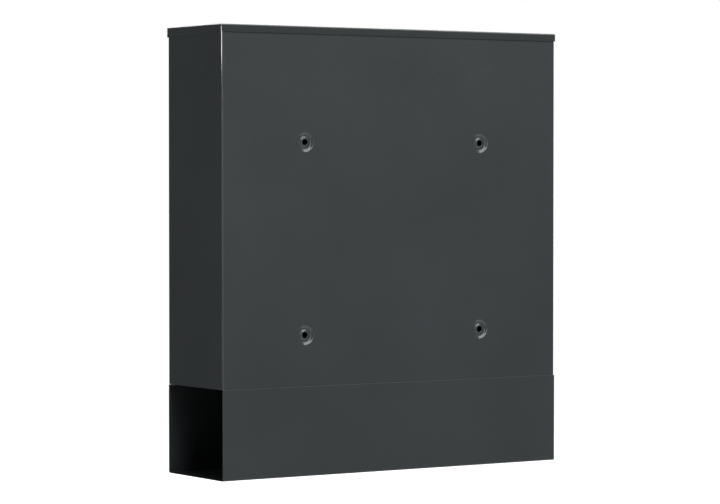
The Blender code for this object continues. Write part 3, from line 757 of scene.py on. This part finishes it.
# ---- slot and flap ----
def make_slot_panel():
    """Fixed upper front with the mail slot, its stop lip, the pivot ears and the door's upper rail."""
    front = FRONT + SHEET / 2
    top = BODY_TOP - SHEET / 2
    head = HEAD_BOTTOM + SHEET / 2
    path = [(FRONT + UPSTAND, top), (front, top), (front, head), (SLOT_HIGH.y, head)]
    slot = [((-SLOT_HALF, FRONT - 2 * SHEET, SLOT_BOTTOM), (SLOT_HALF, FRONT + 3 * SHEET, SLOT_TOP))]
    foot = SLOT_BOTTOM - SHEET / 2
    stop = sheet_outline([(front, foot), (STOP_Y, foot), (STOP_Y, SLOT_BOTTOM + STOP_HEIGHT)])

    def add_stop(builder):
        add_prism(builder, stop, "X", -SLOT_HALF, SLOT_HALF)
    ear = SLOT_HALF + WELD
    ears = mirrored((ear, FRONT + SHEET / 3, SLOT_TOP - EAR_HEIGHT),
                    (ear + SHEET, FRONT + EAR_DEPTH, SLOT_TOP))
    pivots = [(x, FLAP_PIVOT.y, FLAP_PIVOT.z) for x in (-SLOT_HALF, SLOT_HALF)]
    pin = [(DOOR_PIVOT.x, DOOR_PIVOT.y, HEAD_BOTTOM)]
    steps = [("DIFFERENCE", boxes(slot)), ("UNION", add_stop), ("UNION", boxes(ears)), ("ROUND", EDGE),
             ("DIFFERENCE", holes(PIVOT_RADIUS + GAP, pivots, ALONG_X, PIVOT_REACH)),
             ("DIFFERENCE", holes(PIN_HOLE, pin, Matrix(), PIN_REACH))]
    folded("slot_panel", path, SLOT_LOW.x, SLOT_HIGH.x, steps)


def make_mail_flap():
    """Flap in the slot, with a finger lip along its foot and an ear at each end."""
    front = FRONT + SHEET / 2
    hood = FLAP_HIGH.z - SHEET / 2
    foot = SLOT_BOTTOM + FLAP_FOOT
    path = [(FRONT + FLAP_HOOD, hood), (front, hood), (front, foot + FLAP_BREAK),
            (FRONT - FLAP_LIP, foot + SHEET)]
    half = FLAP_HIGH.x
    ear = half - WELD
    ears = mirrored((ear - SHEET, FRONT + SHEET / 3, FLAP_HIGH.z - FLAP_EAR_HEIGHT),
                    (ear, FRONT + FLAP_EAR_DEPTH, FLAP_HIGH.z - SHEET / 3))
    pivots = [(x, FLAP_PIVOT.y, FLAP_PIVOT.z) for x in (-half, half)]
    steps = [("UNION", boxes(ears)), ("ROUND", EDGE),
             ("DIFFERENCE", holes(PIVOT_RADIUS + GAP, pivots, ALONG_X, PIVOT_REACH))]
    folded("mail_flap", path, -half, half, steps, body="flap")


def make_flap_pivots():
    """Rivets through the panel's ears and the flap's ears; heads outside, formed tails inside."""
    low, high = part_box("flap_pivot_right")
    wide = (high.z - low.z) / 2
    head = high.x - PIVOT_HEAD
    tail = low.x + PIVOT_TAIL
    tail_round = PIVOT_TAIL - SOFT
    profile = [(0, high.x)] + arc(wide - HEAD_SOFT, high.x - HEAD_SOFT, HEAD_SOFT, 90, 0)
    profile += [(wide, head), (PIVOT_RADIUS, head), (PIVOT_RADIUS, tail), (wide, tail), (wide, tail - GAP)]
    profile += arc(wide - tail_round, low.x + tail_round, tail_round, 0, -90) + [(0, low.x)]
    place = (0, FLAP_PIVOT.y, FLAP_PIVOT.z)
    for name, turn in (("flap_pivot_right", ALONG_X), ("flap_pivot_left", ALONG_X.inverted())):
        turned(name, profile, place, turn, "housing", "zinc_steel", segments=COARSE)


def make_bumpers():
    """Rubber pads that the flap and the door close on, each with a domed nose."""
    for name in ("flap_bumper_left", "flap_bumper_right", "door_bumper_lower", "door_bumper_upper"):
        low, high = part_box(name)
        radius = (high.x - low.x) / 2
        height = high.y - low.y
        nose = height * 0.45
        profile = [(0, 0)] + arc(radius - nose, nose, nose, -90, 0) + [(radius, height), (0, height)]
        place = ((low.x + high.x) / 2, low.y, (low.z + high.z) / 2)
        turned(name, profile, place, INTO_BOX, "housing", "rubber", segments=COARSE)


# ---- door and hinge ----
def make_door_panel():
    """Door sheet with four returned edges, holes for the hinge pins and for the lock."""
    pins = [(DOOR_PIVOT.x, DOOR_PIVOT.y, z) for z in (DOOR_LOW.z, DOOR_HIGH.z)]
    pan("door_panel", DOOR_LOW, DOOR_HIGH, "+Y", "door",
        [("ROUND", EDGE), ("DIFFERENCE", holes(PIN_HOLE, pins, Matrix(), PIN_REACH)),
         ("DIFFERENCE", holes(LOCK_RADIUS + GAP, [LOCK], INTO_BOX, segments=FINE))])


def make_hinge_pins():
    """Headed pins, one up into the door from below and one down into it from above."""
    flip = Matrix.Rotation(pi, 4, "X")
    for name, turn in (("door_hinge_pin_lower", Matrix()), ("door_hinge_pin_upper", flip)):
        low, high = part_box(name)
        length = high.z - low.z
        head = (high.x - low.x) / 2
        profile = [(0, 0)] + arc(head - HEAD_SOFT, HEAD_SOFT, HEAD_SOFT, -90, 0)
        profile += [(head, PIN_HEAD), (PIN_RADIUS, PIN_HEAD), (PIN_RADIUS, length - HEAD_SOFT)]
        profile += arc(PIN_RADIUS - SOFT, length - SOFT, SOFT, 0, 90) + [(0, length)]
        start = low.z if turn == Matrix() else high.z
        place = (DOOR_PIVOT.x, DOOR_PIVOT.y, start)
        turned(name, profile, place, turn, "housing", "zinc_steel", segments=COARSE)


def make_hinge_rings():
    """Push-on clips that hold the pins, and a washer under the door."""
    for name, slot in (("hinge_clip_lower", "zinc_steel"), ("hinge_clip_upper", "zinc_steel"),
                       ("hinge_washer", "nylon")):
        low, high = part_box(name)
        radius = (high.x - low.x) / 2
        height = high.z - low.z
        corner = height / 3
        section = arc(radius - corner, corner, corner, -90, 0, 4)
        section += arc(radius - corner, height - corner, corner, 0, 90, 4)
        section += [(PIN_HOLE, height), (PIN_HOLE, 0)]
        place = (DOOR_PIVOT.x, DOOR_PIVOT.y, low.z)
        turned(name, section, place, Matrix(), "housing", slot, ring=True, segments=40)


# ---- lock ----
def around_lock(half_x, near, half_z, far):
    """Return a box centred on the lock's axis, from near to far behind the door's face."""
    return LOCK + Vector((-half_x, near, -half_z)), LOCK + Vector((half_x, far, half_z))


def along_lock(name):
    """Return a CAD node's near and far ends behind the door's face, and half its width."""
    low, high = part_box(name)
    return low.y - LOCK.y, high.y - LOCK.y, (high.x - low.x) / 2


def make_lock_housing():
    """Barrel with a stepped face and a threaded outside."""
    _, end, _ = along_lock("lock_housing")
    bore = PLUG_RADIUS + GAP
    face = -LOCK_FACE_HEIGHT
    ring = [(bore, face + GAP), (bore + GAP, face)]
    ring += arc(LOCK_FACE - FACE_ROUND, face + FACE_ROUND, FACE_ROUND, -90, 0)
    ring += [(LOCK_FACE, -GAP), (LOCK_RADIUS, -GAP)]
    for index in range(int((end - THREAD_PITCH) / THREAD_PITCH)):
        start = THREAD_START + index * THREAD_PITCH
        ring += [(LOCK_RADIUS, start), (LOCK_RADIUS - THREAD_DEPTH, start + THREAD_PITCH / 2)]
    ring += [(LOCK_RADIUS, end - THREAD_DEPTH), (LOCK_RADIUS - THREAD_DEPTH, end), (bore, end)]
    turned("lock_housing", ring, LOCK, INTO_BOX, "door", "nickel", ring=True, segments=FINE)


def make_lock_nut():
    """Hexagon nut with chamfered corners."""
    near, far, corner = along_lock("lock_nut")
    flat = corner * cos(pi / 6)
    chamfer = (corner - flat) * tan(radians(30))
    nut = bmesh.new()
    add_turned(nut, [(0, near), (corner, near), (corner, far), (0, far)], 6, place=AT_LOCK)

    def keep_inside(builder):
        profile = [(0, near - GAP), (flat, near - GAP), (corner + GAP, near + chamfer),
                   (corner + GAP, far - chamfer), (flat, far + GAP), (0, far + GAP)]
        add_turned(builder, profile, FINE, place=AT_LOCK)
    bore = holes(LOCK_RADIUS + GAP, [LOCK], INTO_BOX, NUT_REACH, FINE)
    finish("lock_nut_look", nut, "door", "zinc_steel", ["lock_nut"],
           [("INTERSECT", keep_inside), ("DIFFERENCE", bore)])


def make_lock_plug():
    """Plug with a keyway and its ward, and a square boss with a tapped hole for the cam."""
    _, shoulder, _ = along_lock("lock_housing")
    face, boss_end, _ = along_lock("lock_plug")
    profile = [(0, face)] + arc(PLUG_RADIUS - SOFT, face + SOFT, SOFT, -90, 0)
    profile += [(PLUG_RADIUS, shoulder + GAP), (0, shoulder + GAP)]
    boss = boxes([around_lock(BOSS / 2, shoulder - BOSS_ROOT, BOSS / 2, boss_end)])
    blade = boxes([around_lock(KEY_HALF, -KEY_REACH, KEY_HEIGHT, KEY_DEPTH)])
    ward = boxes([(LOCK + Vector((-2 * KEY_HALF, -KEY_REACH, -3 * KEY_HALF)),
                   LOCK + Vector((0.0, KEY_DEPTH, -KEY_HALF)))])
    tapped = holes(SCREW_RADIUS + GAP, [LOCK + Vector((0, boss_end, 0))], INTO_BOX, TAP_DEPTH, 24)
    turned("lock_plug", profile, LOCK, INTO_BOX, "lock", "nickel", segments=FINE, steps=[
        ("UNION", boss), ("DIFFERENCE", blade), ("DIFFERENCE", ward), ("DIFFERENCE", tapped)])


def make_lock_cam():
    """Flat cam with round ends and a square hole."""
    near, far, _ = along_lock("lock_cam")
    low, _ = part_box("lock_cam")
    reach = LOCK.z - low.z - CAM_TIP
    half_turn = [pi * step / 24 for step in range(25)]
    outline = [(CAM_HUB * cos(angle), -CAM_HUB * sin(angle)) for angle in half_turn]
    outline += [(-CAM_TIP * cos(angle), reach + CAM_TIP * sin(angle)) for angle in half_turn]
    cam = bmesh.new()
    add_prism(cam, outline, "Z", near, far)
    bmesh.ops.transform(cam, matrix=AT_LOCK, verts=cam.verts)
    hole = BOSS / 2 + GAP
    square = boxes([around_lock(hole, near - LAP / 4, hole, far + LAP / 4)])
    finish("lock_cam_look", cam, "lock", "zinc_steel", ["lock_cam"],
           [("DIFFERENCE", square), ("ROUND", CAM_EDGE)])


def make_cam_screw():
    """Domed screw with a cross slot, which holds the cam."""
    tip, top, head = along_lock("cam_screw")
    seat = top - SCREW_SEAT
    profile = [(0, tip), (SCREW_RADIUS, tip), (SCREW_RADIUS, seat), (head - GAP, seat)]
    profile += arc(head - FACE_ROUND, top - FACE_ROUND, FACE_ROUND, 0, 90) + [(0, top)]
    cross = boxes([around_lock(CROSS_HALF, top - CROSS_DEPTH, CROSS_REACH, top + GAP)])
    other = boxes([around_lock(CROSS_REACH, top - CROSS_DEPTH, CROSS_HALF, top + GAP)])
    turned("cam_screw", profile, LOCK, INTO_BOX, "lock", "zinc_steel", steps=[
        ("DIFFERENCE", cross), ("DIFFERENCE", other), ("ROUND", SCREW_EDGE)])


# ---- name plate ----
def make_name_plate():
    """Clear cover with a pocket at its back, and the blank card in it."""
    card_low, card_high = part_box("name_card")
    low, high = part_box("name_cover")
    cover = bmesh.new()
    verts = add_box(cover, low, high)
    edges = {edge for vert in verts for edge in vert.link_edges}
    deep = [edge for edge in edges if abs(edge.verts[0].co.y - edge.verts[1].co.y) > SHEET]
    bmesh.ops.bevel(cover, geom=deep, offset=COVER_CORNER, segments=6, profile=0.5, affect="EDGES")
    room = Vector((GAP, GAP, GAP))
    pocket = boxes([(card_low - room, card_high + room + Vector((0, SHEET, 0)))])
    finish("name_cover_look", cover, "door", "clear_plastic", ["name_cover"],
           [("ROUND", COVER_EDGE), ("DIFFERENCE", pocket)])
    blank = bmesh.new()
    add_box(blank, card_low, card_high)
    finish("name_card_look", blank, "door", "card", ["name_card"], [("ROUND", CARD_EDGE)])


add_camera()
add_world(ambient=0.06, below=0.9)
add_stage()
make_housing_shell()
make_top_cap()
make_floor_panel()
make_newspaper_tray()
make_tray_rivets()
make_slot_panel()
make_mail_flap()
make_flap_pivots()
make_bumpers()
make_door_panel()
make_hinge_pins()
make_hinge_rings()
make_lock_housing()
make_lock_nut()
make_lock_plug()
make_lock_cam()
make_cam_screw()
make_name_plate()
add_softbox("back_key", heading=108, height=45, distance=3.0, width=3.2, tall=2.6, glow=4.2)
add_softbox("right_fill", heading=84, height=12, distance=3.0, width=1.4, tall=2.2, glow=2.4,
            shaded=["top_cap_look"])
add_softbox("left_fill", heading=205, height=38, distance=3.0, width=1.4, tall=1.4, glow=2.4)
add_softbox("front_key", heading=-105, height=50, distance=3.0, width=2.4, tall=2.0, glow=6.0)
add_softbox("corner_strip", heading=-8, height=2.6, distance=2.5, width=0.7, tall=0.1, glow=80.0,
            target=0.178)

bpy.context.scene.view_settings.view_transform = "Standard"
